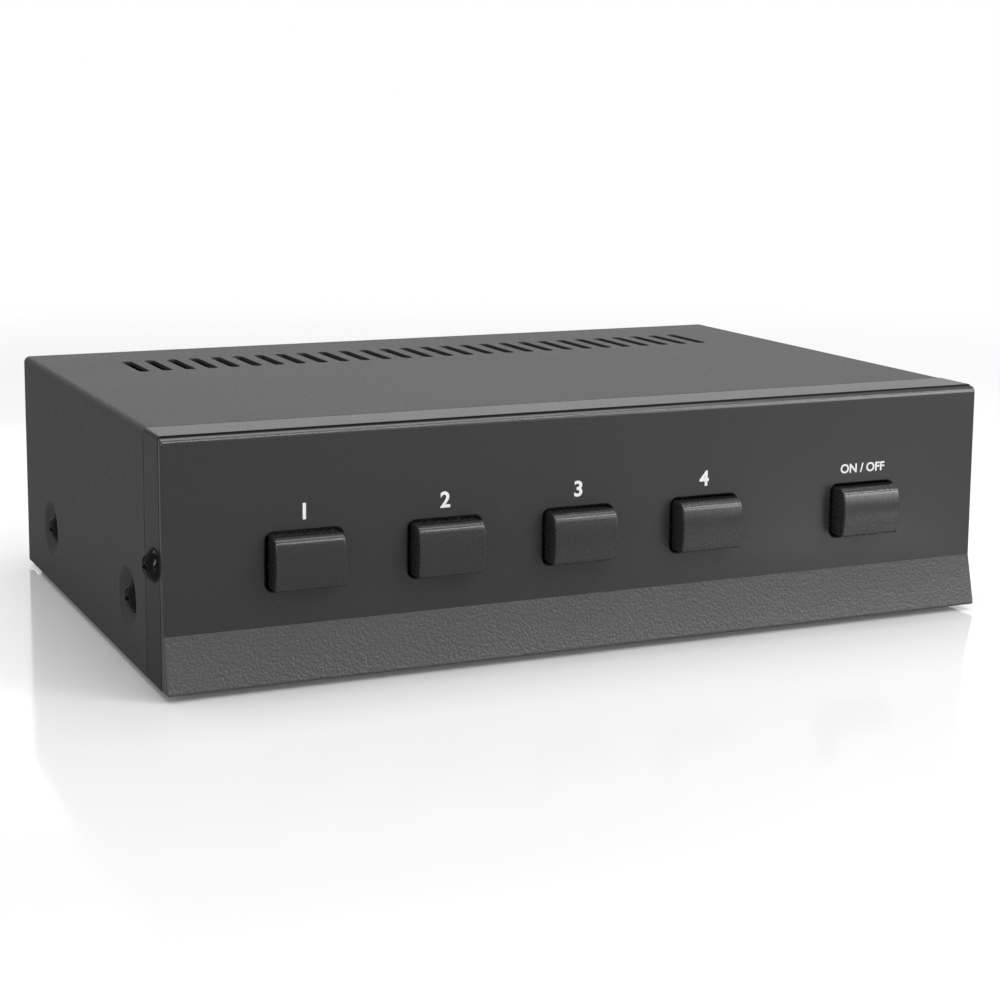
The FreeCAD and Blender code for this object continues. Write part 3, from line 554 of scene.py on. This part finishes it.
def floorMaterial():
    # lit paper with a sheen near the object, running out to plain white
    mat = bpy.data.materials.new("floorPale")
    mat.use_nodes = True
    tree = mat.node_tree
    paper = tree.nodes["Principled BSDF"]
    paper.inputs["Roughness"].default_value = stageLook["floorRough"]
    paper.inputs["IOR"].default_value = stageLook["floorIor"]
    path = tree.nodes.new("ShaderNodeLightPath")
    tone = mixLevel(tree, path.outputs["Is Glossy Ray"], stageLook["floorTone"], stageLook["floorTwin"])
    link(tree, tone, paper.inputs["Base Color"])
    place = tree.nodes.new("ShaderNodeTexCoord")
    reach = tree.nodes.new("ShaderNodeVectorMath")
    reach.operation = "LENGTH"
    link(tree, place.outputs["Object"], reach.inputs[0])
    sheen = rampDown(tree, reach.outputs["Value"], stageLook["glossNear"], stageLook["glossFar"])
    link(tree, mathNode(tree, "MULTIPLY", sheen, stageLook["gloss"]), paper.inputs["Specular IOR Level"])
    lift = tree.nodes.new("ShaderNodeEmission")
    link(tree, mathNode(tree, "MULTIPLY", path.outputs["Is Camera Ray"], stageLook["lift"]),
         lift.inputs["Strength"])
    near = tree.nodes.new("ShaderNodeAddShader")
    link(tree, paper.outputs[0], near.inputs[0])
    link(tree, lift.outputs[0], near.inputs[1])
    white = tree.nodes.new("ShaderNodeEmission")
    fade = mathNode(tree, "SUBTRACT", 1.0,
                    rampDown(tree, reach.outputs["Value"], stageLook["fadeStart"], stageLook["fadeEnd"]))
    mix = tree.nodes.new("ShaderNodeMixShader")
    link(tree, mathNode(tree, "MULTIPLY", path.outputs["Is Camera Ray"], fade), mix.inputs["Fac"])
    link(tree, near.outputs[0], mix.inputs[1])
    link(tree, white.outputs[0], mix.inputs[2])
    link(tree, mix.outputs[0], tree.nodes["Material Output"].inputs["Surface"])
    return mat


def buildFloor():
    deselectAll()
    bpy.ops.mesh.primitive_plane_add(size=stageLook["floorSize"], location=(0, 0, 0))
    floor = bpy.context.object
    floor.name = "floor"
    floor.data.materials.append(floorMaterial())


def buildWorld():
    world = bpy.data.worlds.new("studio")
    scene.world = world
    world.use_nodes = True
    tree = world.node_tree
    tree.nodes.clear()
    path = tree.nodes.new("ShaderNodeLightPath")
    glow = tree.nodes.new("ShaderNodeBackground")
    fill = mixLevel(tree, path.outputs["Is Glossy Ray"], stageLook["worldDiffuse"], stageLook["worldGlossy"])
    level = mixLevel(tree, path.outputs["Is Camera Ray"], fill, 1.0)
    link(tree, level, glow.inputs["Strength"])
    glow.inputs["Color"].default_value = (1, 1, 1, 1)
    out = tree.nodes.new("ShaderNodeOutputWorld")
    link(tree, glow.outputs[0], out.inputs["Surface"])


lights = {
    "topSoftbox": {"place": (0.0, 0.10, 1.0), "aim": (0, 0, 0.03), "size": (1.2, 0.7), "power": 7.0},
    "frontStrip": {"place": (0.35, -0.75, 0.95), "aim": (0, -0.07, 0.03), "size": (1.2, 0.10), "power": 5.4},
    "frontRight": {"place": (0.58, -0.66, 0.44), "aim": (0.05, -0.07, 0.03), "size": (0.36, 0.22),
                   "power": 1.9},
    "bandLight": {"place": (0.42, -0.48, 0.14), "aim": (0.08, -0.08, 0.01), "size": (0.22, 0.10),
                  "power": 0.42},
    "backPanel": {"place": (0.75, 1.60, 0.45), "aim": (0, 0, 0.05), "size": (1.8, 0.5), "power": 2.6},
    "leftEdge": {"place": (-1.10, -0.55, 0.35), "aim": (-0.1, -0.07, 0.03), "size": (0.20, 0.6),
                 "power": 2.2},
}


def aimAt(item, target):
    direction = Vector(target) - item.location
    item.rotation_euler = direction.to_track_quat("-Z", "Y").to_euler()


def buildLights():
    for name, look in lights.items():
        lamp = bpy.data.lights.new(name, "AREA")
        lamp.shape = "RECTANGLE"
        lamp.size, lamp.size_y = look["size"]
        lamp.energy = look["power"]
        item = bpy.data.objects.new(name, lamp)
        scene.collection.objects.link(item)
        item.visible_camera = False
        item.location = look["place"]
        aimAt(item, look["aim"])


cameraLook = {
    "place": (-0.2199, -0.5013, 0.1341),
    "yaw": 24.33,                # degrees to the right of straight ahead
    "pitch": 8.83,               # degrees downward
    "roll": -0.44,
    "lens": 75.8,
    "sensor": 36.0,
    "shiftY": -0.10,
    "clipStart": 0.01,
}


def buildCamera():
    data = bpy.data.cameras.new("camera")
    data.sensor_width = cameraLook["sensor"]
    data.lens = cameraLook["lens"]
    data.shift_y = cameraLook["shiftY"]
    data.clip_start = cameraLook["clipStart"]
    camera = bpy.data.objects.new("camera", data)
    scene.collection.objects.link(camera)
    camera.location = cameraLook["place"]
    level = Euler((math.radians(90 - cameraLook["pitch"]), 0, -math.radians(cameraLook["yaw"])))
    spin = level.to_quaternion()
    lineOfSight = spin @ Vector((0, 0, -1))
    camera.rotation_euler = (Quaternion(lineOfSight, math.radians(cameraLook["roll"])) @ spin).to_euler()
    scene.camera = camera


buildFloor()
buildWorld()
buildLights()
buildCamera()
scene.view_settings.view_transform = "Standard"
print("stage, lights and camera set")
